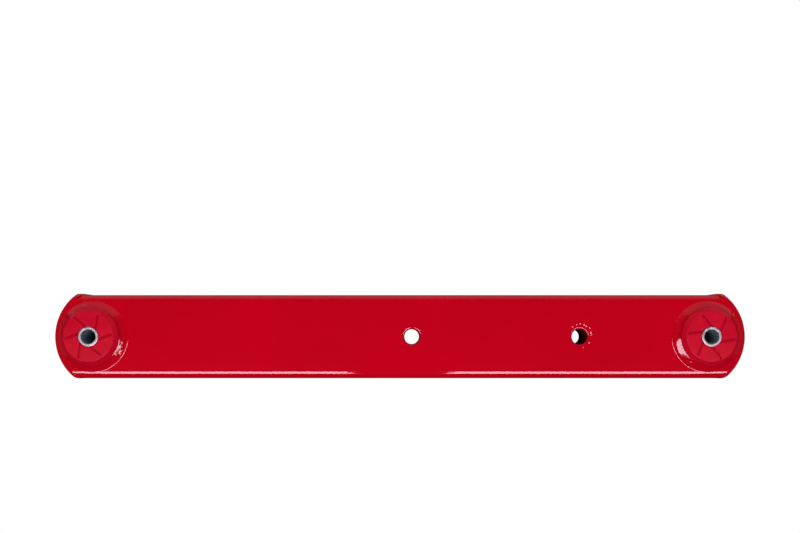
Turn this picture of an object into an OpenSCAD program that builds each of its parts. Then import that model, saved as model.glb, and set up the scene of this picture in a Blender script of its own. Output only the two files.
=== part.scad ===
// Boxed rear lower control arm with greased polyurethane bushings.
// The origin is the centre of the front bore. +X runs along the arm to the rear bore,
// +Z along the bores and +Y across the box section. Millimetres.

/* [Box section] */
// Distance between the axes of the two bushing bores
bore_spacing = 558.8; // [480:0.1:680]
// Depth of the box section, across the bores (Y)
tube_h = 76.2; // [66:0.1:92]
// Thickness of the box section, along the bores (Z)
tube_t = 38.1; // [30:0.1:50]
// Wall thickness of the box section
tube_wall = 3.05; // [2:0.05:4.5]
// Outside corner radius of the box section
tube_corner_r = 6; // [5:0.1:8]

/* [Rounded ends] */
// Metal left between a bushing shell and the end of the arm
end_margin = 9.7; // [8:0.1:16]
// How far the rounded end bulges past its own corners
end_rise = 18.5; // [14:0.1:24]
// Rounding where the end's arc runs into the narrow sides
end_corner_r = 10; // [4:0.5:11]
// Thickness of the bent plate that closes an end
cap_t = 3.2; // [2:0.1:4.5]
// Rounding along the long edges of that plate
cap_edge_r = 2.6; // [1:0.1:3.2]
// Width of the weld bead across the narrow side, where plate meets tube
cap_weld_w = 10; // [6:0.5:11]
// Height of that bead
cap_weld_h = 1.4; // [0.5:0.1:2]

/* [Bushing shells] */
// Outside diameter of the steel shell welded through the arm
shell_od = 50.8; // [42:0.1:62]
// Wall thickness of the shell
shell_wall = 3.175; // [2:0.05:4]
// How far the shell stands out of each wide side
shell_proud = 4.35; // [3:0.05:7]
// Leg of the fillet weld around the shell, along the wide side
shell_weld_leg = 7; // [4:0.1:8]
// Radius of the hollow in that weld's face
shell_weld_hollow_r = 14; // [9:0.5:40]

/* [Polyurethane bushings] */
// Thickness of a bushing flange
flange_t = 6.9; // [5:0.1:10]
// How far the flange overhangs the shell
flange_lip = 0.7; // [0.4:0.1:2]
// Radius of the flange's round lip
lip_r = 2.2; // [1.2:0.1:2.4]
// Width of the bevel outside the flange's flat face
flange_bevel = 3.6; // [2.5:0.1:5]
// Gap between the two bushing halves at the middle of the shell
half_gap = 2; // [1:0.1:6]
// Number of grease grooves on a flange face
groove_count = 6; // [3:1:8]
// Width of a grease groove
groove_w = 1.3; // [0.8:0.1:2]
// Depth of a grease groove
groove_depth = 0.8; // [0.4:0.1:1.5]
// Distance from the bore's axis to a groove's centre line
groove_offset = 5.5; // [0:0.1:7]
// Turn of the grooves on the two front bushings
front_groove_turn = 20.4; // [0:0.1:60]
// Turn of the grooves on the two rear bushings
rear_groove_turn = 8.1; // [0:0.1:60]

/* [Inner sleeves] */
// Outside diameter of a steel inner sleeve
sleeve_od = 18; // [15:0.1:22]
// Wall thickness of a sleeve
sleeve_wall = 2.5; // [1.5:0.05:3]
// How far a sleeve stands out of each flange face
sleeve_proud = 0.3; // [0.1:0.05:1]
// Chamfer on a sleeve's end edges
sleeve_chamfer = 0.5; // [0.2:0.05:0.7]

/* [Anti-roll bar holes] */
// Distance from the rear bore to the nearer hole
bar_hole_to_rear = 116; // [70:0.5:150]
// Distance between the two holes
bar_hole_pitch = 152.4; // [100:0.1:250]
// Outside diameter of the spacer tube welded in each hole
spacer_od = 19; // [16:0.1:24]
// Wall thickness of a spacer tube
spacer_wall = 2.5; // [2:0.1:3.5]
// Chamfer at the mouth of a spacer tube
spacer_chamfer = 1.2; // [0.4:0.1:1.5]
// How far a spacer tube ends below the wide sides
spacer_recess = 0.5; // [0.2:0.1:1]
// Width of the dished weld around a spacer tube
spacer_weld_w = 3; // [2:0.1:5]
// Depth of the bevel in the wide side that this weld fills
spacer_weld_depth = 2; // [1.2:0.1:2.5]
// Radius of the hollow in this weld's face
spacer_weld_hollow_r = 6; // [4:0.5:20]

/* [Clearances] */
// Radial running clearance of a sleeve in its bushings
running_clearance = 0.05; // [0.02:0.01:0.1]
// Gap around welded and pushed-in pieces
seat_gap = 0.05; // [0.02:0.01:0.1]
// Gap between the top of a shell weld and the shell's end
weld_top_gap = 0.15; // [0.1:0.05:0.5]

/* [Hidden] */
$fn = 96;

red_coat = [0.75, 0, 0.11];
red_urethane = [0.73, 0.08, 0.16];
zinc = [0.72, 0.73, 0.75];

// Shells and bushings, outwards from the sleeve
sleeve_r = sleeve_od / 2;
bushing_bore_r = sleeve_r + running_clearance;
shell_r = shell_od / 2;
shank_r = shell_r - shell_wall - seat_gap;
shell_len = tube_t + 2 * shell_proud;
flange_r = shell_r + flange_lip;
flat_r = flange_r - flange_bevel;
bushing_w = shell_len + 2 * flange_t;
sleeve_len = bushing_w + 2 * sleeve_proud;

// Rounded ends: an arc through both corners, end_rise beyond them
end_overhang = shell_r + end_margin;
end_r = (pow(tube_h / 2, 2) + pow(end_rise, 2)) / (2 * end_rise);
arc_to_bore = end_r - end_overhang;
seam_to_arc = sqrt(pow(end_r - cap_t, 2) - pow(tube_h / 2, 2));
seam_x = seam_to_arc - arc_to_bore;
corner_y = tube_h / 2 - end_corner_r;
corner_x = sqrt(pow(end_r - end_corner_r, 2) - pow(corner_y, 2)) - arc_to_bore;

// Welds stay on the flat that carries them
tube_flat = tube_h / 2 - tube_corner_r;
end_flat = end_overhang - cap_edge_r;
shell_weld_r = min(shell_r + shell_weld_leg, tube_flat, end_flat);
shell_weld_h = shell_proud - weld_top_gap;
weld_toe_h = 0.25;
weld_crown = 1;
cap_weld_len = tube_t - 2 * tube_corner_r + 2;

// Anti-roll bar holes
spacer_r = spacer_od / 2;
spacer_bore_r = spacer_r - spacer_wall;
spacer_hole_r = spacer_r + seat_gap;
spacer_weld_r = spacer_hole_r + spacer_weld_w;
rear_hole_x = bore_spacing - bar_hole_to_rear;
mid_hole_x = rear_hole_x - bar_hole_pitch;

over = 1; // overshoot of a cutting shape

module rounded_rectangle(w, h, r) {
    square([w - 2 * r, h], center = true);
    square([w, h - 2 * r], center = true);
    for (x = [-1, 1], y = [-1, 1])
        translate([x * (w / 2 - r), y * (h / 2 - r)]) circle(r = r);
}

// Moves a piece made at the front bore to the rear one, turned end for end
module at_rear() {
    translate([bore_spacing, 0, 0]) rotate([0, 0, 180]) children();
}

module flipped() {
    rotate([180, 0, 0]) children();
}

// Radius of a bead's round top
function bead_r(w, h) = (w * w / 4 + h * h) / (2 * h);

// Circle of radius r that hollows out the edge from a to b; the metal lies to its right
module hollow_between(a, b, r) {
    edge = b - a;
    off = [-edge[1], edge[0]] / norm(edge);
    translate((a + b) / 2 + off * sqrt(r * r - edge * edge / 4)) circle(r = r);
}

// Plan of the tube: its ends are cut to the inner face of the end plates
module tube_plan() {
    r = end_r - cap_t - seat_gap;
    translate([arc_to_bore, -r]) square([bore_spacing - 2 * arc_to_bore, 2 * r]);
    for (x = [arc_to_bore, bore_spacing - arc_to_bore])
        translate([x, 0]) circle(r = r);
}

// Hole for a spacer tube, bevelled on both wide sides for its welds
module spacer_hole() {
    flat = tube_t / 2 - spacer_weld_depth;
    cylinder(r = spacer_hole_r, h = tube_t + 2 * over, center = true);
    for (side = [0, 1]) mirror([0, 0, side]) translate([0, 0, flat])
        cylinder(r1 = spacer_hole_r, r2 = spacer_weld_r, h = spacer_weld_depth);
}

module box_tube() {
    inner_r = tube_corner_r - tube_wall;
    color(red_coat) difference() {
        intersection() {
            translate([-end_overhang, 0, 0]) rotate([90, 0, 90])
                linear_extrude(height = bore_spacing + 2 * end_overhang) difference() {
                    rounded_rectangle(tube_h, tube_t, tube_corner_r);
                    rounded_rectangle(tube_h - 2 * tube_wall, tube_t - 2 * tube_wall, inner_r);
                }
            translate([0, 0, -tube_t / 2 - over])
                linear_extrude(height = tube_t + 2 * over) tube_plan();
        }
        for (x = [0, bore_spacing])
            translate([x, 0, 0])
                cylinder(r = shell_r + seat_gap, h = tube_t + 2 * over, center = true);
        for (x = [mid_hole_x, rear_hole_x])
            translate([x, 0, 0]) spacer_hole();
    }
}

// Plan of the front end's outside, with its corners rounded
module end_plan() {
    difference() {
        intersection() {
            translate([arc_to_bore, 0]) circle(r = end_r);
            translate([-end_overhang - over, -tube_h / 2])
                square([end_overhang + arc_to_bore, tube_h]);
        }
        for (side = [0, 1]) mirror([0, side]) corner_cut();
    }
}

// What rounds the corner between the end's arc and the narrow side
module corner_cut() {
    centre = [-corner_x, corner_y];
    outwards = (centre - [arc_to_bore, 0]) / (end_r - end_corner_r);
    difference() {
        polygon([centre, centre + outwards * (end_corner_r + over),
            [-corner_x - end_corner_r, tube_h / 2 + over], [-corner_x, tube_h / 2 + over]]);
        translate(centre) circle(r = end_corner_r);
    }
}

// Bent plate that closes an end, cut flush with the narrow sides
module end_cap() {
    color(red_coat) intersection() {
        translate([arc_to_bore, 0, 0]) rotate([0, 0, 90]) rotate_extrude(angle = 180)
            difference() {
                translate([end_r - cap_t, -tube_t / 2]) square([cap_t, tube_t]);
                for (side = [-1, 1]) cap_edge_cut(side);
            }
        linear_extrude(height = tube_t + 2 * over, center = true) end_plan();
    }
}

// What rounds one long edge of the end plate
module cap_edge_cut(side) {
    x = end_r - cap_edge_r;
    y = side * (tube_t / 2 - cap_edge_r);
    difference() {
        translate([x, side > 0 ? y : y - cap_edge_r - over])
            square([cap_edge_r + over, cap_edge_r + over]);
        translate([x, y]) circle(r = cap_edge_r);
    }
}

// Beads across both narrow sides, over the seam between plate and tube and round the corner
module cap_welds() {
    r = bead_r(cap_weld_w, cap_weld_h);
    color(red_coat) for (side = [0, 1]) mirror([0, side, 0])
        linear_extrude(height = cap_weld_len, center = true) difference() {
            intersection() {
                translate([-seam_x, tube_h / 2 + cap_weld_h - r]) circle(r = r);
                translate([-seam_x - r, corner_y]) square([2 * r, tube_h]);
            }
            end_plan();
        }
}

module bushing_shell() {
    color(red_coat) difference() {
        cylinder(r = shell_r, h = shell_len, center = true);
        cylinder(r = shell_r - shell_wall, h = shell_len + 2 * over, center = true);
    }
}

// Hollow-faced fillet weld between the shell and the wide side
module shell_weld() {
    inner = shell_r + seat_gap;
    toe = [shell_weld_r, weld_toe_h];
    crown = [inner + weld_crown, shell_weld_h];
    color(red_coat) translate([0, 0, tube_t / 2]) rotate_extrude() difference() {
        polygon([[inner, 0], [shell_weld_r, 0], toe, crown, [inner, shell_weld_h]]);
        hollow_between(crown, toe, shell_weld_hollow_r);
    }
}

// Half section of a bushing half: a shank in the shell and a flange over its end
module bushing_section() {
    under = shell_len / 2;
    face = bushing_w / 2;
    lip = [flange_r - lip_r, under + lip_r];
    edge = [flat_r, face];
    to_edge = edge - lip;
    meet = atan2(to_edge[1], to_edge[0]) - acos(lip_r / norm(to_edge));
    translate([bushing_bore_r, half_gap / 2])
        square([shank_r - bushing_bore_r, shell_len / 2]);
    polygon([[bushing_bore_r, under], [lip[0], under], lip,
        lip + lip_r * [cos(meet), sin(meet)], edge, [bushing_bore_r, face]]);
    translate(lip) circle(r = lip_r);
}

module bushing_half(turn) {
    reach = sqrt(pow(flat_r - 1, 2) - pow(groove_offset, 2));
    color(red_urethane) difference() {
        rotate_extrude() bushing_section();
        for (i = [0 : groove_count - 1])
            rotate([0, 0, turn + i * 360 / groove_count])
                translate([0, -groove_offset - groove_w / 2, bushing_w / 2 - groove_depth])
                    cube([reach, groove_w, groove_depth + over]);
    }
}

module inner_sleeve() {
    r = sleeve_r - sleeve_wall;
    z = sleeve_len / 2;
    c = sleeve_chamfer;
    color(zinc) rotate_extrude()
        polygon([[r, -z + c], [r + c, -z], [sleeve_r - c, -z], [sleeve_r, -z + c],
            [sleeve_r, z - c], [sleeve_r - c, z], [r + c, z], [r, z - c]]);
}

// Tube that keeps the box section from crushing under an anti-roll bar bolt
module bolt_spacer() {
    r = spacer_bore_r;
    z = tube_t / 2 - spacer_recess;
    c = spacer_chamfer;
    color(red_coat) rotate_extrude()
        polygon([[r, -z + c], [r + c, -z], [spacer_r, -z],
            [spacer_r, z], [r + c, z], [r, z - c]]);
}

// Dished weld that fills the bevel between a spacer tube and the wide side
module spacer_weld() {
    inner = [spacer_hole_r, -spacer_recess];
    toe = [spacer_weld_r, 0];
    color(red_coat) translate([0, 0, tube_t / 2]) rotate_extrude() difference() {
        polygon([[spacer_hole_r, -spacer_weld_depth], toe, inner]);
        hollow_between(inner, toe, spacer_weld_hollow_r);
    }
}

module at(x) {
    translate([x, 0, 0]) children();
}

box_tube();
end_cap();  // front_end_cap
at_rear() end_cap();  // rear_end_cap
cap_welds();  // front_cap_welds
at_rear() cap_welds();  // rear_cap_welds
bushing_shell();  // front_bushing_shell
at_rear() bushing_shell();  // rear_bushing_shell
shell_weld();  // front_shell_weld_top
flipped() shell_weld();  // front_shell_weld_bottom
at_rear() shell_weld();  // rear_shell_weld_top
at_rear() flipped() shell_weld();  // rear_shell_weld_bottom
bushing_half(front_groove_turn);  // front_bushing_top
flipped() bushing_half(front_groove_turn);  // front_bushing_bottom
at_rear() bushing_half(rear_groove_turn);  // rear_bushing_top
at_rear() flipped() bushing_half(rear_groove_turn);  // rear_bushing_bottom
inner_sleeve();  // front_inner_sleeve
at_rear() inner_sleeve();  // rear_inner_sleeve
at(mid_hole_x) bolt_spacer();  // mid_bolt_spacer
at(rear_hole_x) bolt_spacer();  // rear_bolt_spacer
at(mid_hole_x) spacer_weld();  // mid_spacer_weld_top
at(mid_hole_x) flipped() spacer_weld();  // mid_spacer_weld_bottom
at(rear_hole_x) spacer_weld();  // rear_spacer_weld_top
at(rear_hole_x) flipped() spacer_weld();  // rear_spacer_weld_bottom
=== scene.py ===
import math
import random
import bmesh
import bpy
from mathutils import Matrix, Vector, noise


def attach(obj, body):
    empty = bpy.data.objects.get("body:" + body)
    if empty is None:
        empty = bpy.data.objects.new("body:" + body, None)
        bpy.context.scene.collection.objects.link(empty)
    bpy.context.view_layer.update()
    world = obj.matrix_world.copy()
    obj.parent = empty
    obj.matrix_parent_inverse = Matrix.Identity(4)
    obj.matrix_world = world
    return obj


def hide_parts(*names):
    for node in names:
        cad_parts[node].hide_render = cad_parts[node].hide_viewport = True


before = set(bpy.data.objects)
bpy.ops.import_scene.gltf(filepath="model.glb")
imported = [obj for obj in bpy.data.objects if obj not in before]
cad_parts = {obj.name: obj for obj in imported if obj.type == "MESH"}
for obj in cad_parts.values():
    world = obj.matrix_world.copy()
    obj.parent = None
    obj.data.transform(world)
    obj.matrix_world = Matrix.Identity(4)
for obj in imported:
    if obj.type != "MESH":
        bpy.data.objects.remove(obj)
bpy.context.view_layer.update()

# Pieces are drawn in millimetres and brought to metres when they are finished.
millimetre = 0.001
mergeDistance = 0.0005
nearlyEqual = 0.01

# The arm's main sizes. The front bore is at x 0 and the wide sides face up and down.
arm = {
    "boreSpacing": 558.8,
    "height": 76.2,
    "thickness": 38.1,
    "wall": 3.05,
    "cornerRadius": 6.4,
    "endOverhang": 35.1,
    "endRadius": 48.48,
    "endCornerRadius": 10.0,
    "capThickness": 3.2,
    "seatGap": 0.05,
    "shellRadius": 25.4,
    "midHoleX": 290.4,
    "rearHoleX": 442.8,
    "holeRadius": 9.55,
    "holeWeldRadius": 12.55,
    "holeWeldDepth": 2.0,
}
# How far cutting shapes reach past what they cut
overrun = 10.0
wideFace = arm["thickness"] / 2
narrowFace = arm["height"] / 2
endArcX = arm["endRadius"] - arm["endOverhang"]


def clearSelection():
    if bpy.context.mode != "OBJECT":
        bpy.ops.object.mode_set(mode="OBJECT")
    bpy.ops.object.select_all(action="DESELECT")


def pickUp(piece):
    clearSelection()
    piece.select_set(True)
    bpy.context.view_layer.objects.active = piece


def openMesh(piece):
    pickUp(piece)
    bpy.ops.object.mode_set(mode="EDIT")
    bpy.ops.mesh.select_all(action="DESELECT")


def selectVertices(piece, wanted):
    bpy.ops.mesh.select_mode(type="VERT")
    shape = bmesh.from_edit_mesh(piece.data)
    for vertex in shape.verts:
        vertex.select = wanted(vertex)
    shape.select_flush(True)
    bmesh.update_edit_mesh(piece.data)


def selectEdges(piece, wanted):
    bpy.ops.mesh.select_mode(type="EDGE")
    shape = bmesh.from_edit_mesh(piece.data)
    for edge in shape.edges:
        edge.select = wanted(edge)
    shape.select_flush(False)
    bmesh.update_edit_mesh(piece.data)


def nameIt(piece, name):
    piece.name = name
    piece.data.name = name
    return piece


def addBlock(name, low, high):
    clearSelection()
    bpy.ops.mesh.primitive_cube_add(size=1)
    piece = nameIt(bpy.context.object, name)
    piece.location = [(a + b) / 2 for a, b in zip(low, high)]
    piece.scale = [b - a for a, b in zip(low, high)]
    bpy.ops.object.transform_apply(location=True, rotation=True, scale=True)
    return piece


def addRod(name, radius, depth, place, sides):
    clearSelection()
    bpy.ops.mesh.primitive_cylinder_add(vertices=sides, radius=radius, depth=depth, location=place)
    bpy.ops.object.transform_apply(location=True, rotation=True, scale=True)
    return nameIt(bpy.context.object, name)


# Draws a line of points from one merged vertex, and leaves the mesh open for editing.
def drawOutline(name, points, closed=True):
    clearSelection()
    bpy.ops.mesh.primitive_plane_add(size=1)
    piece = nameIt(bpy.context.object, name)
    bpy.ops.object.mode_set(mode="EDIT")
    bpy.ops.mesh.select_mode(type="VERT")
    bpy.ops.mesh.select_all(action="SELECT")
    bpy.ops.mesh.merge(type="CENTER")
    bpy.ops.transform.translate(value=points[0])
    for before, after in zip(points, points[1:]):
        step = [b - a for a, b in zip(before, after)]
        bpy.ops.mesh.extrude_region_move(TRANSFORM_OT_translate={"value": step})
    if closed:
        selectVertices(piece, lambda vertex: len(vertex.link_edges) == 1)
        bpy.ops.mesh.edge_face_add()
    return piece


def closeMesh():
    bpy.ops.mesh.select_all(action="SELECT")
    bpy.ops.mesh.remove_doubles(threshold=mergeDistance)
    bpy.ops.mesh.normals_make_consistent(inside=False)
    bpy.ops.object.mode_set(mode="OBJECT")


# Turns a profile of (radius, height) points once round the upright axis at the origin.
def turnOnLathe(name, profile, steps):
    piece = drawOutline(name, [(radius, 0, height) for radius, height in profile])
    bpy.ops.mesh.select_all(action="SELECT")
    bpy.ops.mesh.spin(steps=steps, angle=math.tau, center=(0, 0, 0), axis=(0, 0, 1))
    closeMesh()
    return piece


def useModifier(piece, kind, **settings):
    pickUp(piece)
    modifier = piece.modifiers.new(kind.title(), kind)
    for name, value in settings.items():
        setattr(modifier, name, value)
    bpy.ops.object.modifier_apply(modifier=modifier.name)


def carve(piece, tool, operation="DIFFERENCE"):
    useModifier(piece, "BOOLEAN", object=tool, operation=operation, solver="EXACT")
    bpy.data.objects.remove(tool, do_unlink=True)


def joinPieces(pieces):
    pickUp(pieces[0])
    for piece in pieces[1:]:
        piece.select_set(True)
    bpy.ops.object.join()
    return pieces[0]


# Lifts the surface along its normals by up to height, as far as liftAt says from 0 to 1.
def liftSurface(piece, height, liftAt):
    group = piece.vertex_groups.new(name="lift")
    for vertex in piece.data.vertices:
        share = liftAt(vertex.co)
        if share > 0:
            group.add([vertex.index], min(share, 1.0), "REPLACE")
    useModifier(piece, "DISPLACE", vertex_group="lift", strength=height, mid_level=0.0,
                direction="NORMAL")
    piece.vertex_groups.remove(piece.vertex_groups["lift"])


# A copy with its own mesh. turn is about the upright axis, flip about the arm's long axis.
def copyTo(piece, name, place=(0, 0, 0), turn=0.0, flip=False):
    pickUp(piece)
    bpy.ops.object.duplicate(linked=False)
    twin = nameIt(bpy.context.object, name)
    twin.rotation_euler = (math.pi if flip else 0.0, 0.0, turn)
    twin.location = place
    bpy.ops.object.transform_apply(location=True, rotation=True, scale=True)
    return twin


# As copyTo, without leaving the first one behind
def moveTo(piece, name, place=(0, 0, 0), turn=0.0, flip=False):
    twin = copyTo(piece, name, place, turn, flip)
    bpy.data.objects.remove(piece, do_unlink=True)
    return twin


def smoothFaces(piece, angle):
    pickUp(piece)
    bpy.ops.object.shade_smooth_by_angle(angle=math.radians(angle))
    useModifier(piece, "WEIGHTED_NORMAL", keep_sharp=True, weight=50)


# Brings a drawn piece to metres and puts it in the model.
def fitPiece(piece, nodes, body, finish, angle=32):
    smoothFaces(piece, angle)
    piece.scale = (millimetre, millimetre, millimetre)
    bpy.ops.object.transform_apply(location=True, rotation=True, scale=True)
    piece.data.materials.clear()
    piece.data.materials.append(finish)
    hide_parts(*nodes)
    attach(piece, body)


def arcPoints(centre, radius, start, end, count):
    points = []
    for step in range(count + 1):
        angle = math.radians(start + (end - start) * step / count)
        points.append((centre[0] + radius * math.cos(angle), centre[1] + radius * math.sin(angle)))
    return points


# Slow seeded waves round a ring or along a bead, from -1 to 1.
def makeWander(seed, lowest, highest, count):
    dice = random.Random(seed)
    waves = [(dice.uniform(lowest, highest), dice.uniform(0, math.tau)) for wave in range(count)]

    def wander(position):
        return sum(math.sin(rate * position + phase) for rate, phase in waves) / count

    return wander


# The same round a closed ring, where the waves must meet.
def makeRingWander(seed, lowest, highest, count):
    dice = random.Random(seed)
    waves = [(dice.randint(lowest, highest), dice.uniform(0, math.tau)) for wave in range(count)]

    def wander(angle):
        return sum(math.sin(rate * angle + phase) for rate, phase in waves) / count

    return wander


def smoothStep(low, high, value):
    share = min(max((value - low) / (high - low), 0.0), 1.0)
    return share * share * (3 - 2 * share)


class Wire:
    def __init__(self, finish, socket):
        self.finish = finish
        self.socket = socket

    def maths(self, operation, first, second):
        return self.finish.add("ShaderNodeMath", {"operation": operation}, {0: first, 1: second})

    def __add__(self, other):
        return self.maths("ADD", self, other)

    def __radd__(self, other):
        return self.maths("ADD", other, self)

    def __sub__(self, other):
        return self.maths("SUBTRACT", self, other)

    def __rsub__(self, other):
        return self.maths("SUBTRACT", other, self)

    def __mul__(self, other):
        return self.maths("MULTIPLY", self, other)

    def __rmul__(self, other):
        return self.maths("MULTIPLY", other, self)

    def __truediv__(self, other):
        return self.maths("DIVIDE", self, other)

    def __rtruediv__(self, other):
        return self.maths("DIVIDE", other, self)

    def __pow__(self, other):
        return self.maths("POWER", self, other)


# The node tree of a material or of the world
class Finish:
    def __init__(self, owner):
        owner.use_nodes = True
        self.owner = owner
        self.tree = owner.node_tree
        self.tree.nodes.clear()

    def add(self, kind, settings, inputs, output=0):
        node = self.tree.nodes.new(kind)
        for name, value in settings.items():
            setattr(node, name, value)
        for name, value in inputs.items():
            if isinstance(value, Wire):
                self.tree.links.new(value.socket, node.inputs[name])
            else:
                node.inputs[name].default_value = value
        return Wire(self, node.outputs[output]) if node.outputs else node

    def noise(self, place, scale, detail=2.0, roughness=0.5):
        return self.add("ShaderNodeTexNoise", {"noise_dimensions": "3D"},
                        {"Vector": place, "Scale": scale, "Detail": detail, "Roughness": roughness})

    def spread(self, value, low, high, toLow=0.0, toHigh=1.0):
        return self.add("ShaderNodeMapRange", {"clamp": True, "interpolation_type": "SMOOTHSTEP"},
                        {"Value": value, "From Min": low, "From Max": high,
                         "To Min": toLow, "To Max": toHigh})

    def blend(self, share, first, second):
        return self.add("ShaderNodeMix", {"data_type": "RGBA", "clamp_factor": True},
                        {0: share, 6: first, 7: second}, output=2)

    def bump(self, height, strength, distance, normal=None):
        inputs = {"Height": height, "Strength": strength, "Distance": distance}
        if normal:
            inputs["Normal"] = normal
        return self.add("ShaderNodeBump", {}, inputs)

    def close(self, **inputs):
        shader = self.add("ShaderNodeBsdfPrincipled", {},
                          {name.replace("_", " "): value for name, value in inputs.items()})
        self.add("ShaderNodeOutputMaterial", {}, {"Surface": shader})
        return self.owner

    # Object coordinates, in metres
    def place(self):
        return self.add("ShaderNodeTexCoord", {}, {}, output="Object")

    def along(self, place, axis):
        return self.add("ShaderNodeSeparateXYZ", {}, {"Vector": place}, output=axis)

    # Distance from the nearest of two upright axes, in metres
    def radiusFrom(self, place, firstX, pitch):
        x, y = self.along(place, "X") - firstX, self.along(place, "Y")
        turns = self.add("ShaderNodeMath", {"operation": "ROUND"}, {0: x / pitch})
        away = x - turns * pitch
        return (away * away + y * y) ** 0.5


def startMaterial(name):
    return Finish(bpy.data.materials.new(name))


# The stretch of a noise's values that a blend is spread over
noiseMiddle = (0.3, 0.7)

powderCoat = {
    "red": (0.53, 0.0, 0.0108, 1.0),
    "deepRed": (0.495, 0.0, 0.0098, 1.0),
    "refraction": 1.55,
    "toneScale": 11.0,
    "fleckScale": 900.0,
    "unevenGloss": 0.02,
    "peelSize": 0.0026,
    "peelDepth": 0.000012,
    "bumpStrength": 0.6,
}
# grain is the unevenness of the metal under the coat.
coatOnTube = {"gloss": 0.03, "grainSize": 0.05, "grainDepth": 0.000002}
coatOnWeld = {"gloss": 0.06, "grainSize": 0.0011, "grainDepth": 0.00002}


def makePowderCoat(name, surface):
    finish = startMaterial(name)
    place = finish.place()
    tone = finish.noise(place, powderCoat["toneScale"], detail=3.0)
    fleck = finish.noise(place, powderCoat["fleckScale"], detail=1.0)
    peel = finish.noise(place, 1 / powderCoat["peelSize"], detail=1.0)
    grain = finish.noise(place, 1 / surface["grainSize"], detail=3.0)
    share = finish.spread(tone, *noiseMiddle)
    colour = finish.blend(share, powderCoat["deepRed"], powderCoat["red"])
    roughness = surface["gloss"] + powderCoat["unevenGloss"] * fleck
    roughness = roughness + powderCoat["unevenGloss"] * tone
    soft = finish.bump(peel, powderCoat["bumpStrength"], powderCoat["peelDepth"])
    uneven = finish.bump(grain, powderCoat["bumpStrength"], surface["grainDepth"], soft)
    return finish.close(Base_Color=colour, Roughness=roughness, Normal=uneven,
                        IOR=powderCoat["refraction"])


# Inside a spacer the coat gives way to a dark colour between the two radii: a bare-metal colour,
# darkened further as painted shade for the deep bore.
spacerCoat = {
    "dark": (0.075, 0.0030, 0.0040, 1.0),
    "shine": 0.25,
    "bareRadius": 0.0071,
    "coatedRadius": 0.0077,
    "raggedness": 0.0003,
    "grainScale": 600.0,
    "grainDepth": 0.00005,
    "bumpStrength": 0.5,
    "bareRoughness": 0.55,
    "coatedRoughness": 0.12,
}


def makeSpacerCoat():
    finish = startMaterial("spacerCoat")
    place = finish.place()
    grain = finish.noise(place, spacerCoat["grainScale"], detail=3.0)
    radius = finish.radiusFrom(place, arm["midHoleX"] * millimetre,
                               (arm["rearHoleX"] - arm["midHoleX"]) * millimetre)
    coated = finish.spread(radius + spacerCoat["raggedness"] * grain, spacerCoat["bareRadius"],
                           spacerCoat["coatedRadius"])
    # Painted shade: the inside of the bore takes the dark colour, on top of the bare metal.
    colour = finish.blend(coated, spacerCoat["dark"], powderCoat["red"])
    smoother = spacerCoat["bareRoughness"] - spacerCoat["coatedRoughness"]
    roughness = spacerCoat["bareRoughness"] - smoother * coated
    uneven = finish.bump(grain, spacerCoat["bumpStrength"], spacerCoat["grainDepth"])
    return finish.close(Base_Color=colour, Roughness=roughness, Normal=uneven,
                        Specular_IOR_Level=spacerCoat["shine"])


polyurethane = {
    "red": (0.555, 0.002, 0.020, 1.0),
    "deepRed": (0.505, 0.001, 0.017, 1.0),
    # Painted shade: the darker red that the groove floors take
    "grooveShadeRed": (0.42, 0.0, 0.012, 1.0),
    "shine": 0.10,
    "gloss": 0.16,
    "flowGloss": 0.07,
    "grainGloss": 0.04,
    "grainSize": 0.0009,
    "grainDepth": 0.000012,
    "grainStrength": 0.6,
    "flowSize": 0.012,
    "flowDepth": 0.00006,
    "flowStrength": 0.5,
    "grooveLevels": (0.03012, 0.0296),
    "grooveRadii": (0.0222, 0.0216),
}


def makePolyurethane():
    finish = startMaterial("redPolyurethane")
    place = finish.place()
    flow = finish.noise(place, 1 / polyurethane["flowSize"], detail=4.0, roughness=0.6)
    grain = finish.noise(place, 1 / polyurethane["grainSize"], detail=2.0)
    bare = finish.blend(finish.spread(flow, *noiseMiddle), polyurethane["deepRed"],
                        polyurethane["red"])
    height = finish.add("ShaderNodeMath", {"operation": "ABSOLUTE"}, {0: finish.along(place, "Z")})
    radius = finish.radiusFrom(place, 0.0, arm["boreSpacing"] * millimetre)
    # Painted shade: where the surface sinks below the face inside the flat, in the grooves, the red
    # is darkened to stand in for the shade there.
    sunk = finish.spread(height, *polyurethane["grooveLevels"])
    grooveShade = sunk * finish.spread(radius, *polyurethane["grooveRadii"])
    colour = finish.blend(grooveShade, bare, polyurethane["grooveShadeRed"])
    roughness = polyurethane["gloss"] + polyurethane["flowGloss"] * flow
    roughness = roughness + polyurethane["grainGloss"] * grain
    soft = finish.bump(flow, polyurethane["flowStrength"], polyurethane["flowDepth"])
    moulded = finish.bump(grain, polyurethane["grainStrength"], polyurethane["grainDepth"], soft)
    return finish.close(Base_Color=colour, Roughness=roughness, Normal=moulded,
                        Specular_IOR_Level=polyurethane["shine"])


zinc = {
    "bright": (0.45, 0.42, 0.425, 1.0),
    "dull": (0.30, 0.285, 0.29, 1.0),
    "oily": (0.14, 0.20, 0.235, 1.0),
    "gloss": 0.26,
    "patchGloss": 0.12,
    "boreRoughness": 0.5,
    "patchScale": 260.0,
    "patchMiddle": (0.35, 0.65),
    "platedRadii": (0.0066, 0.0071),
    "cutPitch": 0.00022,
    "cutDepth": 0.00001,
    "cutStrength": 0.5,
}


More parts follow.
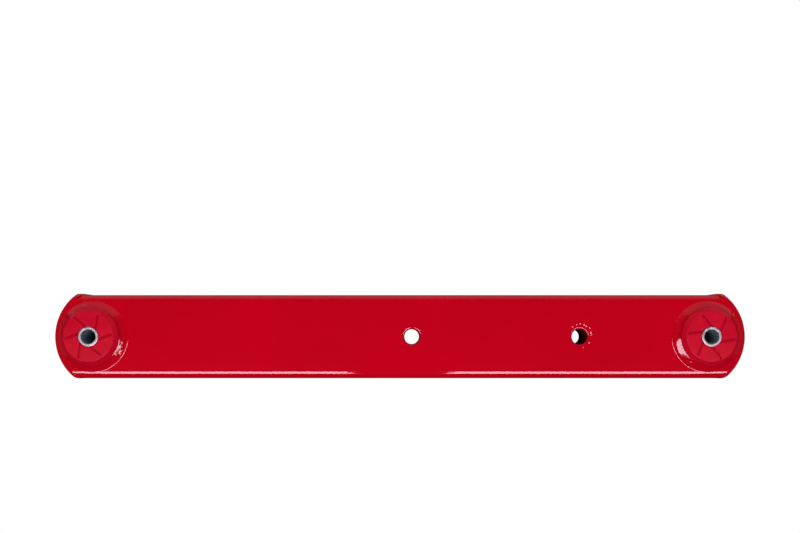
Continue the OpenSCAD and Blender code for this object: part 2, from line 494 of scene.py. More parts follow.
def makeZinc():
    finish = startMaterial("zincSteel")
    place = finish.place()
    radius = finish.radiusFrom(place, 0.0, arm["boreSpacing"] * millimetre)
    patch = finish.noise(place, zinc["patchScale"], detail=3.0)
    cuts = finish.add("ShaderNodeTexNoise", {"noise_dimensions": "1D"},
                      {"W": radius / zinc["cutPitch"], "Scale": 1.0, "Detail": 1.0})
    bright = finish.blend(finish.spread(patch, *zinc["patchMiddle"]), zinc["dull"], zinc["bright"])
    plated = finish.spread(radius, *zinc["platedRadii"])
    # Inside the bore the sleeve takes a darker, dull colour and is not metallic.
    colour = finish.blend(plated, zinc["oily"], bright)
    smoother = zinc["gloss"] + zinc["patchGloss"] * patch - zinc["boreRoughness"]
    roughness = zinc["boreRoughness"] + plated * smoother
    turned = finish.bump(cuts, zinc["cutStrength"], zinc["cutDepth"])
    return finish.close(Base_Color=colour, Roughness=roughness, Metallic=plated, Normal=turned)


print("finishes")
redCoat = makePowderCoat("powderCoatRed", coatOnTube)
weldCoat = makePowderCoat("powderCoatOnWeld", coatOnWeld)
holeCoat = makeSpacerCoat()
urethane = makePolyurethane()
zincSteel = makeZinc()


print("box tube")
boxTube = {
    "cornerSteps": 18,
    "innerCornerSteps": 6,
    "endSteps": 256,
    "shellSteps": 128,
    "holeSteps": 96,
    "bevelOverrun": 3.0,
    "bevelSpread": 4.5,
}
# Every edge along the arm is longer than this, and every edge across it is shorter.
longEdge = 100.0


def roundLongEdges(piece, radius, steps):
    openMesh(piece)
    selectEdges(piece, lambda edge: abs(edge.verts[0].co.x - edge.verts[1].co.x) > longEdge)
    bpy.ops.mesh.bevel(offset=radius, segments=steps, profile=0.5)
    bpy.ops.object.mode_set(mode="OBJECT")


# A bar hole with a bevel at both ends for its welds
def makeHoleTool(name, x):
    mouth = arm["holeWeldRadius"] + boxTube["bevelSpread"]
    beyond = wideFace + boxTube["bevelOverrun"]
    beveled = wideFace - arm["holeWeldDepth"]
    profile = [(0.0, -beyond), (mouth, -beyond), (arm["holeRadius"], -beveled),
               (arm["holeRadius"], beveled), (mouth, beyond), (0.0, beyond)]
    return moveTo(turnOnLathe("turned", profile, boxTube["holeSteps"]), name, (x, 0, 0))


def makeBoxTube():
    reach = arm["endOverhang"]
    inside = arm["wall"]
    far = arm["boreSpacing"]
    tube = addBlock("boxTube", (-reach, -narrowFace, -wideFace),
                    (far + reach, narrowFace, wideFace))
    roundLongEdges(tube, arm["cornerRadius"], boxTube["cornerSteps"])
    beyond = reach + overrun
    hollow = addBlock("hollow", (-beyond, -narrowFace + inside, -wideFace + inside),
                      (far + beyond, narrowFace - inside, wideFace - inside))
    roundLongEdges(hollow, arm["cornerRadius"] - inside, boxTube["innerCornerSteps"])
    endCut = arm["endRadius"] - arm["capThickness"] - arm["seatGap"]
    through = arm["thickness"] + 2 * overrun
    ends = addRod("ends", endCut, through, (endArcX, 0, 0), boxTube["endSteps"])
    openMesh(ends)
    selectVertices(ends, lambda vertex: vertex.co.x > endArcX + nearlyEqual)
    bpy.ops.transform.translate(value=(far - 2 * endArcX, 0, 0))
    bpy.ops.object.mode_set(mode="OBJECT")
    carve(tube, ends, "INTERSECT")
    carve(tube, hollow)
    shellCut = arm["shellRadius"] + arm["seatGap"]
    tools = [addRod("cut", shellCut, through, (x, 0, 0), boxTube["shellSteps"]) for x in (0, far)]
    tools += [makeHoleTool("cut", x) for x in (arm["midHoleX"], arm["rearHoleX"])]
    carve(tube, joinPieces(tools))
    fitPiece(tube, ["box_tube"], "arm", redCoat)


makeBoxTube()


print("end caps")
endCap = {
    "rimRadius": 2.6,
    "rimSteps": 8,
    "arcSteps": 96,
    "cornerSteps": 18,
    "stripEnd": 2.0,
}


# Where the end's arc meets the rounding of its corners
def findEndCorner():
    centreY = narrowFace - arm["endCornerRadius"]
    reach = arm["endRadius"] - arm["endCornerRadius"]
    centreX = endArcX - math.sqrt(reach * reach - centreY * centreY)
    return centreX, centreY, math.degrees(math.atan2(centreY, centreX - endArcX))


cornerX, cornerY, cornerTurn = findEndCorner()


def makeEndCap():
    outline = [(endCap["stripEnd"], narrowFace)]
    outline += arcPoints((cornerX, cornerY), arm["endCornerRadius"], 90, cornerTurn,
                         endCap["cornerSteps"])
    outline += arcPoints((endArcX, 0), arm["endRadius"], cornerTurn, 360 - cornerTurn,
                         endCap["arcSteps"])[1:-1]
    outline += arcPoints((cornerX, -cornerY), arm["endCornerRadius"], 360 - cornerTurn, 270,
                         endCap["cornerSteps"])
    outline += [(endCap["stripEnd"], -narrowFace)]
    cap = drawOutline("frontEndCap", [(x, y, -wideFace) for x, y in outline])
    bpy.ops.mesh.select_all(action="SELECT")
    bpy.ops.mesh.edge_face_add()
    bpy.ops.mesh.extrude_region_move(TRANSFORM_OT_translate={"value": (0, 0, arm["thickness"])})

    def isRim(edge):
        a, b = edge.verts[0].co, edge.verts[1].co
        level = abs(a.z - b.z) < nearlyEqual
        return level and min(a.x, b.x) < endCap["stripEnd"] - nearlyEqual

    selectEdges(cap, isRim)
    bpy.ops.mesh.bevel(offset=endCap["rimRadius"], segments=endCap["rimSteps"], profile=0.5,
                       clamp_overlap=False)
    closeMesh()
    inner = arm["endRadius"] - arm["capThickness"]
    through = arm["thickness"] + 2 * overrun
    carve(cap, addRod("cut", inner, through, (endArcX, 0, 0), boxTube["endSteps"]))
    return cap


frontCap = makeEndCap()
rearCap = copyTo(frontCap, "rearEndCap", (arm["boreSpacing"], 0, 0), math.pi)
fitPiece(frontCap, ["front_end_cap"], "arm", redCoat)
fitPiece(rearCap, ["rear_end_cap"], "arm", redCoat)


print("cap welds")
# Edges on a bead stay smooth up to this many degrees.
beadAngle = 60
capWeld = {
    "bury": 0.45,
    "depth": 1.3,
    "steps": 34,
    "turnSteps": 14,
    "runSteps": 40,
    "wrapRadius": 4.4,
    "startX": -22.4,
    "endX": -1.5,
    "proudHeight": 1.98,
    "flushHeight": 0.55,
    "ripplePitch": 3.6,
    "rippleBow": 0.05,
    "rippleShare": 0.02,
    "lumpSize": 2.6,
    "lumpShare": 0.05,
    "fullShare": 0.86,
    "sway": 0.5,
    "wrapAngle": 88,
    "fadeAngles": (50, 86),
    "proudSeed": 41,
    "flushSeed": 57,
    "swayRates": (0.15, 0.7),
    "middleX": -14,
    "proudRise": (-21.2, -15.5),
    "proudFall": (-8.0, -2.0),
    "secondPass": (-10.8, -9.8),
    "secondPassDrop": 0.42,
    "notchX": -9.5,
    "notchWidth": 0.6,
    "notchDepth": 0.28,
    "flushRise": (-19.5, -13.0),
    "flushFall": (-10.0, -3.0),
}


# A point of the bead's foot, buried a little under the end's outline, for a place along it
def underOutline(along, bury):
    if along > cornerX:
        return along, narrowFace - bury
    angle = (cornerX - along) / arm["endCornerRadius"]
    radius = arm["endCornerRadius"] - bury
    return cornerX - radius * math.sin(angle), cornerY + radius * math.cos(angle)


# How far a bead stands up at a place along it, from 0 to 1. The proud one has a second, lower
# pass beside the first, with a notch between them.
def proudShape(x):
    rise = smoothStep(*capWeld["proudRise"], x) ** 0.5
    step = 1 - capWeld["secondPassDrop"] * smoothStep(*capWeld["secondPass"], x)
    off = (x - capWeld["notchX"]) / capWeld["notchWidth"]
    notch = capWeld["notchDepth"] * math.exp(-off ** 2)
    return rise * (step - notch) * (1 - smoothStep(*capWeld["proudFall"], x))


def flushShape(x):
    return smoothStep(*capWeld["flushRise"], x) * (1 - smoothStep(*capWeld["flushFall"], x))


def makeCapBead(name, height, seed, shapeAt):
    count = capWeld["runSteps"]
    run = [capWeld["startX"] + (capWeld["endX"] - capWeld["startX"]) * step / count
           for step in range(count + 1)]
    outer = [underOutline(along, capWeld["bury"]) for along in run]
    inner = [underOutline(along, capWeld["bury"] + capWeld["depth"]) for along in reversed(run)]
    straight = wideFace - capWeld["wrapRadius"]
    bead = drawOutline(name, [(x, y, -straight) for x, y in outer + inner])
    bpy.ops.mesh.select_all(action="SELECT")
    stride = 2 * straight / capWeld["steps"]
    for step in range(capWeld["steps"]):
        bpy.ops.mesh.extrude_region_move(TRANSFORM_OT_translate={"value": (0, 0, stride)})
    axisY = narrowFace - capWeld["wrapRadius"]
    wrap = math.radians(capWeld["wrapAngle"])
    bpy.ops.mesh.spin(steps=capWeld["turnSteps"], angle=wrap, center=(0, axisY, straight),
                      axis=(1, 0, 0))
    selectVertices(bead, lambda vertex: abs(vertex.co.z + straight) < nearlyEqual)
    bpy.ops.mesh.spin(steps=capWeld["turnSteps"], angle=-wrap, center=(0, axisY, -straight),
                      axis=(1, 0, 0))
    bpy.ops.mesh.select_all(action="SELECT")
    bpy.ops.mesh.fill_holes(sides=0)
    closeMesh()
    wander = makeWander(seed, *capWeld["swayRates"], 4)

    def liftAt(point):
        past = max(abs(point.z) - straight, 0.0)
        fromAxis = math.hypot(point.y - axisY, past) if past else point.y - axisY
        foot = underOutline(point.x, capWeld["bury"] + capWeld["depth"] / 2)[1] - axisY
        if fromAxis < foot:
            return 0.0
        angle = math.degrees(math.atan2(past, max(point.y - axisY, 0.001)))
        fade = 1 - smoothStep(*capWeld["fadeAngles"], angle)
        body = shapeAt(point.x + capWeld["sway"] * wander(point.z))
        bowed = point.z + capWeld["rippleBow"] * (point.x - capWeld["middleX"]) ** 2
        ripple = capWeld["rippleShare"] * math.cos(math.tau * bowed / capWeld["ripplePitch"])
        size = capWeld["lumpSize"]
        lump = noise.noise(Vector((point.x / size, point.z / size, seed)))
        return capWeld["fullShare"] * body * fade * (1 + ripple + capWeld["lumpShare"] * lump)

    liftSurface(bead, height, liftAt)
    return bead


def makeCapWelds(name):
    proud = makeCapBead(name, capWeld["proudHeight"], capWeld["proudSeed"], proudShape)
    flush = makeCapBead("flushBead", capWeld["flushHeight"], capWeld["flushSeed"], flushShape)
    return proud, moveTo(flush, "flushTwin", flip=True)


# The proud beads are on the same narrow side at both ends, so the rear pair is mirrored.
def mirrorEnd(piece, name):
    twin = copyTo(piece, name)
    pickUp(twin)
    twin.scale = (-1, 1, 1)
    twin.location = (arm["boreSpacing"], 0, 0)
    bpy.ops.object.transform_apply(location=True, rotation=True, scale=True)
    openMesh(twin)
    closeMesh()
    return twin


frontProud, frontFlush = makeCapWelds("frontCapWelds")
rearCapWelds = joinPieces([mirrorEnd(frontProud, "rearCapWelds"),
                          mirrorEnd(frontFlush, "rearFlush")])
frontCapWelds = joinPieces([frontProud, frontFlush])
fitPiece(frontCapWelds, ["front_cap_welds"], "arm", weldCoat, angle=beadAngle)
fitPiece(rearCapWelds, ["rear_cap_welds"], "arm", weldCoat, angle=beadAngle)


print("shell welds")
shellWeld = {
    "innerRadius": 25.45,
    "crownHeight": 4.2,
    "toeRadius": 31.4,
    "toeHeight": 0.34,
    "faceSteps": 18,
    "toeRound": 1.8,
    "toeSteps": 8,
    "rim": [(0.3, -0.12), (0.4, -0.4), (0.4, -1.2)],
    "bury": 1.2,
    "ripples": 46,
    "stepsPerRipple": 12,
    "baseLift": 0.14,
    "wanderLift": 0.07,
    "lumpSize": 3.4,
    "fineSize": 1.3,
    "fineShare": 0.3,
    "fineSeedStep": 5,
    "rippleBow": 1.2,
    "rippleSway": 1.4,
    "rippleFrom": (0.3, 0.8),
    "toeFade": (1.1, 0.1),
    "wanderRates": (2, 7),
    "liftDepth": 0.05,
    "shoulderIn": 6,
    "shoulderOut": 3,
}


# The slightly swollen face of a fillet from its crown to its toe, as (radius, height)
def swollenFace(crown, toe, radius, steps):
    edge = (toe[0] - crown[0], toe[1] - crown[1])
    length = math.hypot(*edge)
    off = -math.sqrt(radius * radius - length * length / 4) / length
    centre = ((crown[0] + toe[0]) / 2 - edge[1] * off, (crown[1] + toe[1]) / 2 + edge[0] * off)
    start = math.degrees(math.atan2(crown[1] - centre[1], crown[0] - centre[0]))
    end = math.degrees(math.atan2(toe[1] - centre[1], toe[0] - centre[0]))
    return arcPoints(centre, radius, start, end, steps)


# The toe runs out level into the wide side.
def runOut(toe, radius, steps):
    slope = math.degrees(math.acos(1 - toe[1] / radius))
    centre = (toe[0] + radius * math.sin(math.radians(slope)), radius)
    return arcPoints(centre, radius, 270 - slope, 270, steps)[1:]


def angleGap(first, second):
    return abs((first - second + 180) % 360 - 180)


# The height that single drops add at a place on a bead. A spot is (degrees, radius, size, height).
def addSpots(spots, radius, turn):
    raised = 0.0
    for place, away, size, height in spots:
        off = math.hypot(radius - away, math.radians(angleGap(turn, place)) * radius)
        raised += height * math.exp(-(off / size) ** 2)
    return raised


# shoulders are raised stretches: (start, end, radius at start, radius at end, size, height)
def makeShellWeld(plan):
    crown = (shellWeld["innerRadius"], shellWeld["crownHeight"])
    toe = (shellWeld["toeRadius"], shellWeld["toeHeight"])
    profile = [(shellWeld["innerRadius"], -shellWeld["bury"])]
    profile += swollenFace(crown, toe, plan["swell"], shellWeld["faceSteps"])
    profile += runOut(toe, shellWeld["toeRound"], shellWeld["toeSteps"])
    last = profile[-1][0]
    profile += [(last + out, height) for out, height in shellWeld["rim"]]
    ring = turnOnLathe("weld", [(radius, height + wideFace) for radius, height in profile],
                       shellWeld["ripples"] * shellWeld["stepsPerRipple"])
    wander = makeRingWander(plan["seed"], *shellWeld["wanderRates"], 4)

    def liftAt(point):
        angle = math.atan2(point.y, point.x)
        turn = math.degrees(angle) % 360
        radius = math.hypot(point.x, point.y)
        if point.z < wideFace - shellWeld["liftDepth"]:
            return 0.0
        across = min((radius - shellWeld["innerRadius"]) / (last - shellWeld["innerRadius"]), 1.0)
        size = shellWeld["lumpSize"]
        lump = noise.noise(Vector((point.x / size, point.y / size, plan["seed"])))
        size = shellWeld["fineSize"]
        fineSeed = plan["seed"] + shellWeld["fineSeedStep"]
        fine = noise.noise(Vector((point.x / size, point.y / size, fineSeed)))
        bow = shellWeld["rippleBow"] * math.sin(math.pi * across)
        beat = shellWeld["ripples"] * angle + bow + shellWeld["rippleSway"] * lump
        ripple = plan["ripple"] * (0.5 + 0.5 * math.cos(beat))
        raised = shellWeld["baseLift"] + shellWeld["wanderLift"] * wander(angle)
        raised += plan["lumps"] * (lump + shellWeld["fineShare"] * fine)
        raised += ripple * smoothStep(*shellWeld["rippleFrom"], across)
        raised += addSpots(plan["spots"], radius, turn)
        for start, end, first, second, size, height in plan["shoulders"]:
            share = min(max((turn - start) / (end - start), 0.0), 1.0)
            off = radius - (first + (second - first) * share)
            within, past = shellWeld["shoulderIn"], shellWeld["shoulderOut"]
            ends = smoothStep(start - past, start + within, turn)
            ends *= 1 - smoothStep(end - within, end + past, turn)
            raised += height * ends * math.exp(-(off / size) ** 2)
        fadeFrom, fadeTo = shellWeld["toeFade"]
        return raised * (1 - smoothStep(last - fadeFrom, last - fadeTo, radius))

    liftSurface(ring, 1.0, liftAt)
    return ring


weldPlans = {
    "front_shell_weld_top": {
        "seed": 11, "swell": 300.0, "lumps": 0.05, "ripple": 0.0, "shoulders": [],
        "spots": [(350, 28.6, 0.8, 0.34), (341, 28.9, 1.1, 0.44), (332, 30.0, 0.8, 0.30),
                  (323, 27.9, 0.8, 0.36), (284, 30.6, 0.6, 0.2), (104, 28.0, 1.8, 0.25)],
    },
    "front_shell_weld_bottom": {
        "seed": 23, "swell": 60.0, "lumps": 0.07, "ripple": 0.10, "shoulders": [],
        "spots": [(20, 28.6, 1.6, 0.45), (200, 28.6, 1.8, 0.4)],
    },
    "rear_shell_weld_top": {
        "seed": 37, "swell": 48.0, "lumps": 0.06, "ripple": 0.12,
        "shoulders": [(186, 216, 28.8, 30.2, 1.3, 0.22)],
        "spots": [(226, 26.4, 0.6, 0.25), (236, 28.2, 0.7, 0.3), (60, 28.6, 1.8, 0.3)],
    },
    "rear_shell_weld_bottom": {
        "seed": 53, "swell": 60.0, "lumps": 0.07, "ripple": 0.10, "shoulders": [],
        "spots": [(150, 28.6, 1.8, 0.45), (330, 28.6, 1.6, 0.4)],
    },
}
for node, plan in weldPlans.items():
    name = "".join(word if word in ("front", "rear") else word.title() for word in node.split("_"))
    boreX = arm["boreSpacing"] if "rear" in node else 0
    placed = moveTo(makeShellWeld(plan), name, (boreX, 0, 0), flip="bottom" in node)
    fitPiece(placed, [node], "arm", weldCoat, angle=beadAngle)


print("bushings")
bushing = {
    "boreRadius": 9.05,
    "shankRadius": 22.175,
    "underside": 23.4,
    "face": 30.3,
    "flangeRadius": 26.1,
    "lipRadius": 2.2,
    "flatRadius": 22.5,
    "edgeRadius": 0.4,
    "boreLead": 0.35,
    "halfGap": 1.0,
    "shankLead": 0.8,
    "shankFillet": 0.3,
    "lipSteps": 14,
    "edgeSteps": 5,
    "turnSteps": 180,
    "sharpAngle": 28,
    "grooves": 6,
    "grooveStart": -1.0,
    "grooveMargin": 0.9,
    "grooveRunOut": 0.5,
    "grooveFloor": 0.9,
    "grooveTop": 2.2,
    "grooveDepth": 1.0,
    "grooveOffset": 5.5,
    "frontTurn": 20.4,
    "rearTurn": 8.1,
}


def bushingProfile():
    lip = (bushing["flangeRadius"] - bushing["lipRadius"],
           bushing["underside"] + bushing["lipRadius"])
    edge = (bushing["flatRadius"], bushing["face"])
    away = (edge[0] - lip[0], edge[1] - lip[1])
    tangent = math.acos(bushing["lipRadius"] / math.hypot(*away))
    meet = math.degrees(math.atan2(away[1], away[0]) - tangent)
    corner = bushing["edgeRadius"] * math.tan(math.radians((90 - meet) / 2))
    top, low = bushing["face"], bushing["halfGap"]
    bore, lead = bushing["boreRadius"], bushing["boreLead"]
    shank, taper = bushing["shankRadius"], bushing["shankLead"]
    fillet = bushing["shankFillet"]
    profile = [(bore, low + lead), (bore + lead, low), (shank - taper, low), (shank, low + taper)]
    profile += [(shank, bushing["underside"] - fillet), (shank + fillet, bushing["underside"])]
    profile += arcPoints(lip, bushing["lipRadius"], -90, meet, bushing["lipSteps"])
    profile += arcPoints((edge[0] - corner, top - bushing["edgeRadius"]), bushing["edgeRadius"],
                         meet, 90, bushing["edgeSteps"])
    profile += [(bore + lead, top), (bore, top - lead)]
    return profile


def makeGrooveTool(turn):
    limit = bushing["flatRadius"] - bushing["grooveMargin"]
    end = math.sqrt(limit ** 2 - bushing["grooveOffset"] ** 2)
    deep = bushing["grooveDepth"]
    tool = addBlock("groove", (bushing["grooveStart"], -0.5, -deep), (end, 0.5, deep))
    openMesh(tool)
    selectVertices(tool, lambda vertex: vertex.co.z < 0)
    bpy.ops.transform.resize(value=(1, bushing["grooveFloor"], 1))
    selectVertices(tool, lambda vertex: vertex.co.z > 0)
    bpy.ops.transform.resize(value=(1, 2 * bushing["grooveTop"] - bushing["grooveFloor"], 1))
    selectVertices(tool, lambda vertex: vertex.co.x > 0 and vertex.co.z < 0)
    bpy.ops.transform.translate(value=(-bushing["grooveRunOut"], 0, 0))
    bpy.ops.object.mode_set(mode="OBJECT")
    angle = math.radians(turn)
    side = bushing["grooveOffset"]
    tool.rotation_euler = (0, 0, angle)
    tool.location = (side * math.sin(angle), -side * math.cos(angle), bushing["face"])
    pickUp(tool)
    bpy.ops.object.transform_apply(location=True, rotation=True, scale=True)
    return tool


def makeBushing(turn):
    half = turnOnLathe("half", bushingProfile(), bushing["turnSteps"])
    tools = [makeGrooveTool(turn + 360 * number / bushing["grooves"])
             for number in range(bushing["grooves"])]
    for tool in tools:
        carve(half, tool)
    return half


for end, place, turn, grooveTurn in (("front", 0, 0, bushing["frontTurn"]),
                                     ("rear", arm["boreSpacing"], math.pi, bushing["rearTurn"])):
    half = makeBushing(grooveTurn)
    top = copyTo(half, end + "BushingTop", (place, 0, 0), turn)
    bottom = moveTo(half, end + "BushingBottom", (place, 0, 0), turn, flip=True)
    for piece, side in ((top, "top"), (bottom, "bottom")):
        fitPiece(piece, [end + "_bushing_" + side], "arm", urethane,
                 angle=bushing["sharpAngle"])


print("inner sleeves")
sleeve = {
    "outerRadius": 9.0,
    "innerRadius": 6.5,
    "halfLength": 30.6,
    "outerChamfer": 0.5,
    "innerChamfer": 0.55,
    "chamferSteps": 5,
    "turnSteps": 144,
}


def makeSleeve(name):
    outer, inner, tall = sleeve["outerRadius"], sleeve["innerRadius"], sleeve["halfLength"]
    outerCut, innerCut = sleeve["outerChamfer"], sleeve["innerChamfer"]
    steps = sleeve["chamferSteps"]
    upper = arcPoints((outer - outerCut, tall - outerCut), outerCut, 0, 90, steps)
    upper += arcPoints((inner + innerCut, tall - innerCut), innerCut, 90, 180, steps)
    lower = [(radius, -height) for radius, height in reversed(upper)]
    return turnOnLathe(name, upper + lower, sleeve["turnSteps"])


for end, place in (("front", 0), ("rear", arm["boreSpacing"])):
    placed = moveTo(makeSleeve("turned"), end + "InnerSleeve", (place, 0, 0))
    fitPiece(placed, [end + "_inner_sleeve"], end + "_sleeve", zincSteel)


print("bolt spacers and their welds")
spacer = {
    "outerRadius": 9.5,
    "boreRadius": 7.0,
    "halfLength": 18.55,
    "outerChamfer": 0.1,
    "mouthRadius": 1.2,
    "mouthSteps": 8,
    "turnSteps": 120,
}
holeWeld = {
    "depth": 1.9,
    "mouthEnd": 7.35,
    "mouthDrop": 0.85,
    "overSpacer": 0.52,
    "spacerReach": 8.2,
    "lip": [(0.0, -0.15), (0.1, -0.45)],
    "faceSteps": 14,
    "levelSteps": 14,
    "turnSteps": 240,
    "liftDepth": 0.3,
    "lipMargin": 0.05,
    "lumpSize": 0.9,
    "lumpShare": 0.6,
}


def makeSpacer(name, x):
    outer, inner, tall = spacer["outerRadius"], spacer["boreRadius"], spacer["halfLength"]
    mouth, cut = spacer["mouthRadius"], spacer["outerChamfer"]
    upper = [(outer, tall - cut), (outer - cut, tall)]
    upper += arcPoints((inner + mouth, tall - mouth), mouth, 90, 180, spacer["mouthSteps"])
    lower = [(radius, -height) for radius, height in reversed(upper)]
    return moveTo(turnOnLathe("turned", upper + lower, spacer["turnSteps"]), name, (x, 0, 0))


# A dressed weld is level with the wide side and rolls over the spacer's end into its mouth.
def makeHoleWeld(plan):
    run = plan["mouthStart"] - holeWeld["mouthEnd"]
    slope = 2 * math.atan(holeWeld["mouthDrop"] / run)
    radius = run / math.sin(slope)
    under = holeWeld["overSpacer"]
    profile = [(arm["holeRadius"], -holeWeld["depth"]), (arm["holeRadius"], -under),
               (holeWeld["spacerReach"], -under)]
    profile += arcPoints((plan["mouthStart"], -radius), radius, 90 + math.degrees(slope), 90,
                         holeWeld["faceSteps"])
    reach = plan["reach"]
    level = (reach - plan["mouthStart"]) / holeWeld["levelSteps"]
    profile += [(plan["mouthStart"] + level * step, plan["height"])
                for step in range(1, holeWeld["levelSteps"] + 1)]
    outsets = (reach, arm["holeWeldRadius"])
    profile += [(radius + out, drop) for radius, (out, drop) in zip(outsets, holeWeld["lip"])]
    ring = turnOnLathe("holeWeld", [(radius, height + wideFace) for radius, height in profile],
                       holeWeld["turnSteps"])

    def liftAt(point):
        radius = math.hypot(point.x, point.y)
        turn = math.degrees(math.atan2(point.y, point.x)) % 360
        if point.z < wideFace - holeWeld["liftDepth"] or radius > reach - holeWeld["lipMargin"]:
            return 0.0
        size = holeWeld["lumpSize"]
        lump = noise.noise(Vector((point.x / size, point.y / size, plan["seed"])))
        return addSpots(plan["spots"], radius, turn) * (1 + holeWeld["lumpShare"] * lump)

    if plan["spots"]:
        liftSurface(ring, 1.0, liftAt)
    return ring


# spots are drops, as on the shell welds.
holePlans = {
    "mid": {"x": arm["midHoleX"], "seed": 5, "mouthStart": 8.75, "reach": 12.55, "height": -0.004,
            "spots": []},
    "rear": {"x": arm["rearHoleX"], "seed": 17, "mouthStart": 8.5, "reach": 13.8, "height": 0.01,
             "spots": [(126, 11.3, 0.6, 0.16), (104, 11.7, 0.8, 0.15), (88, 12.3, 0.7, 0.2),
                       (70, 12.1, 0.8, 0.2), (59, 11.8, 0.8, 0.22), (43, 12.4, 0.7, 0.2),
                       (22, 11.0, 0.8, 0.22), (11, 11.0, 0.6, 0.15), (288, 9.8, 0.5, 0.12),
                       (329, 10.2, 0.5, 0.12)]},
}
for end, plan in holePlans.items():
    fitPiece(makeSpacer(end + "BoltSpacer", plan["x"]), [end + "_bolt_spacer"], "arm",
             holeCoat)
    for side, flip in (("top", False), ("bottom", True)):
        placed = moveTo(makeHoleWeld(plan), end + "SpacerWeld" + side.title(), (plan["x"], 0, 0),
                        flip=flip)
        fitPiece(placed, [end + "_spacer_weld_" + side], "arm", redCoat,
                 angle=beadAngle)


# The shells are hidden, so they stay as the frame has them.
for name in ("front_bushing_shell", "rear_bushing_shell"):
    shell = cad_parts[name]
    shell.data.materials.clear()
    shell.data.materials.append(redCoat)


print("studio")
studio = {
    "armMiddle": (0.2794, 0.0, 0.0),
    "cameraHeight": 0.7604,
    "lens": 36.68,
    "sensorWidth": 36.0,
    "shiftUp": 0.0877,
    "clipStart": 0.01,
    "clipEnd": 20.0,
    "floorHeight": -0.0308,
    "keyHeight": 1.205,
    "keyNear": -0.135,
    "keyFar": -1.03,
    "keyGap": 0.125,
    "keyLength": 0.70,
    "keyGlow": 5.0,
    "glintGlow": 4.5,
    "glintTint": (1.0, 0.76, 1.0),
    "glintDrop": 0.006,
    "fillWide": 3.2,
    "fillTall": 1.8,
    "fillAside": 1.1,
    "fillHeight": 1.2,
    "fillGlow": 1.05,
    "panelWide": 3.2,
    "panelAside": 0.75,
    "panelTop": 0.66,
    "panelBottom": -0.9,
    "panelGlow": 0.25,
    "lowPanelTop": 0.19,
    "lowPanelBottom": -0.45,
    "lowPanelAside": 0.74,
    "lowPanelGlow": 0.42,
    "sideWide": 1.2,
    "sideTall": 0.9,
    "sideAway": 1.6,
    "sideHeight": 0.25,
    "sideGlow": 0.08,
    "floorSize": 8,
    "bounceDrop": 0.002,
    "bounce": 0.35,
    "surroundings": 0.012,
}


def addCamera():
    data = bpy.data.cameras.new("camera")
    camera = bpy.data.objects.new("camera", data)
    bpy.context.scene.collection.objects.link(camera)
    data.lens = studio["lens"]
    data.sensor_width = studio["sensorWidth"]
    data.shift_y = studio["shiftUp"]
    data.clip_start = studio["clipStart"]
    data.clip_end = studio["clipEnd"]
    camera.location = (studio["armMiddle"][0], 0.0, studio["cameraHeight"])
    camera.rotation_euler = (0.0, 0.0, 0.0)
    bpy.context.scene.camera = camera


# glow is the brightness of the panel's face, where the paper floor is 1.
def addPanel(name, wide, tall, place, target, glow, glossy=True, diffuse=True):
    data = bpy.data.lights.new(name, "AREA")
    data.shape = "RECTANGLE"
    data.size = wide
    data.size_y = tall
    data.energy = glow * math.pi * wide * tall
    panel = bpy.data.objects.new(name, data)
    bpy.context.scene.collection.objects.link(panel)
    panel.location = place
    aim = Vector(target) - Vector(place)
    panel.rotation_euler = aim.to_track_quat("-Z", "Y").to_euler()
    panel.visible_camera = False
    panel.visible_glossy = glossy
    panel.visible_diffuse = diffuse
    return panel


def addUprightPanel(name, bottom, top, aside, glow):
    middle, height = studio["armMiddle"][0], (bottom + top) / 2
    addPanel(name, studio["panelWide"], top - bottom, (middle, aside, height), (middle, 0, height),
             glow)


def addFloor(name, height, shaderKind, colour):
    clearSelection()
    bpy.ops.mesh.primitive_plane_add(size=studio["floorSize"],
                                     location=(studio["armMiddle"][0], 0, height))
    floor = nameIt(bpy.context.object, name)
    finish = startMaterial(name)
    shader = finish.add(shaderKind, {}, {"Color": colour})
    finish.add("ShaderNodeOutputMaterial", {}, {"Surface": shader})
    floor.data.materials.append(finish.owner)
    return floor


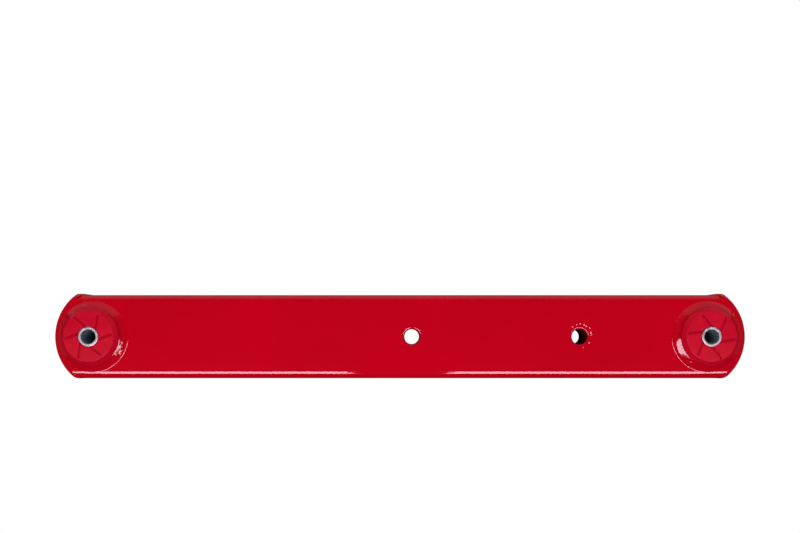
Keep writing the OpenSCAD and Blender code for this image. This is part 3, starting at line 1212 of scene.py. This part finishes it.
def addStudio():
    middle = studio["armMiddle"][0]
    keyOut = studio["keyGap"] + studio["keyLength"] / 2
    keyWidth = studio["keyNear"] - studio["keyFar"]
    keyAside = (studio["keyNear"] + studio["keyFar"]) / 2
    for end, x in (("Front", middle - keyOut), ("Rear", middle + keyOut)):
        place = (x, keyAside, studio["keyHeight"])
        under = (x, keyAside, 0)
        addPanel("key" + end, studio["keyLength"], keyWidth, place, under, studio["keyGlow"])
        lower = (x, keyAside, studio["keyHeight"] - studio["glintDrop"])
        glint = addPanel("glint" + end, studio["keyLength"], keyWidth, lower, under,
                         studio["glintGlow"], diffuse=False)
        glint.data.color = studio["glintTint"]
    addPanel("fill", studio["fillWide"], studio["fillTall"],
             (middle, studio["fillAside"], studio["fillHeight"]), (middle, 0, 0),
             studio["fillGlow"], glossy=False)
    addUprightPanel("backPanel", studio["panelBottom"], studio["panelTop"], studio["panelAside"],
                    studio["panelGlow"])
    addUprightPanel("lowBackPanel", studio["lowPanelBottom"], studio["lowPanelTop"],
                    studio["lowPanelAside"], studio["lowPanelGlow"] - studio["panelGlow"])
    away = studio["sideAway"]
    for name, x in (("frontSide", middle - away), ("rearSide", middle + away)):
        addPanel(name, studio["sideWide"], studio["sideTall"], (x, 0, studio["sideHeight"]),
                 (middle, 0, 0.0), studio["sideGlow"])
    paper = addFloor("floorPaper", studio["floorHeight"], "ShaderNodeEmission", (1, 1, 1, 1))
    paper.visible_diffuse = False
    paper.visible_glossy = False
    paper.visible_transmission = False
    paper.visible_shadow = False
    level = studio["bounce"]
    bounceHeight = studio["floorHeight"] - studio["bounceDrop"]
    bounce = addFloor("floorBounce", bounceHeight, "ShaderNodeBsdfDiffuse",
                      (level, level, level, 1))
    bounce.visible_camera = False
    bounce.visible_glossy = False


# White to the camera, and nearly dark to everything else
def makeWorld():
    world = bpy.data.worlds.new("studio")
    bpy.context.scene.world = world
    finish = Finish(world)
    level = studio["surroundings"]
    seen = finish.add("ShaderNodeLightPath", {}, {}, output="Is Camera Ray")
    dim = finish.add("ShaderNodeBackground", {}, {"Color": (level, level, level, 1)})
    white = finish.add("ShaderNodeBackground", {}, {"Color": (1, 1, 1, 1)})
    mixed = finish.add("ShaderNodeMixShader", {}, {0: seen, 1: dim, 2: white})
    finish.add("ShaderNodeOutputWorld", {}, {"Surface": mixed})


addCamera()
addStudio()
makeWorld()
bpy.context.scene.view_settings.view_transform = "Standard"

clearSelection()
print("pieces in place")
